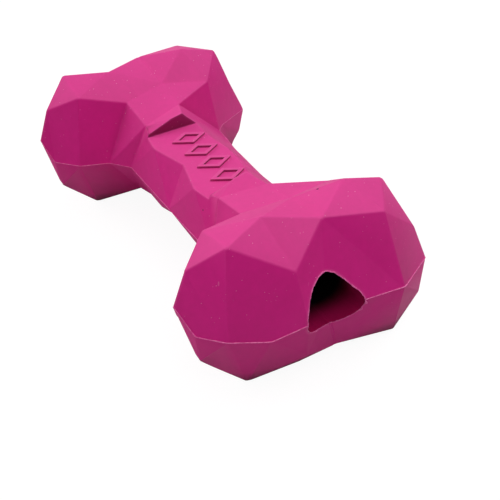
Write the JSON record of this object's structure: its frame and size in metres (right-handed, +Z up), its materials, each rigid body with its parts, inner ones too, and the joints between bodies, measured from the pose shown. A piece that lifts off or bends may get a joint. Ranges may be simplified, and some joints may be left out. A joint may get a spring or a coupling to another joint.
{
  "type": "bone-shaped dog toy",
  "caption": "Faceted bone-shaped treat toy of soft rubber, with a bore from end to end for small treats.",
  "frame": {"origin": "centre of the toy's outline on the surface it lies on", "axes": "+X across the toy, +Y along it towards the far end, +Z up towards the side with the recessed panel"},
  "size_m": [0.0937, 0.1508, 0.0608],
  "materials": {
    "rubber": "matte, moulded, bright pink",
    "cement": "matte, cured, lighter pink"
  },
  "bodies": {
    "root": {"upper_half": "rubber", "lower_half": "rubber", "cement_film_left": "cement", "cement_film_right": "cement"}
  },
  "joints": []
}
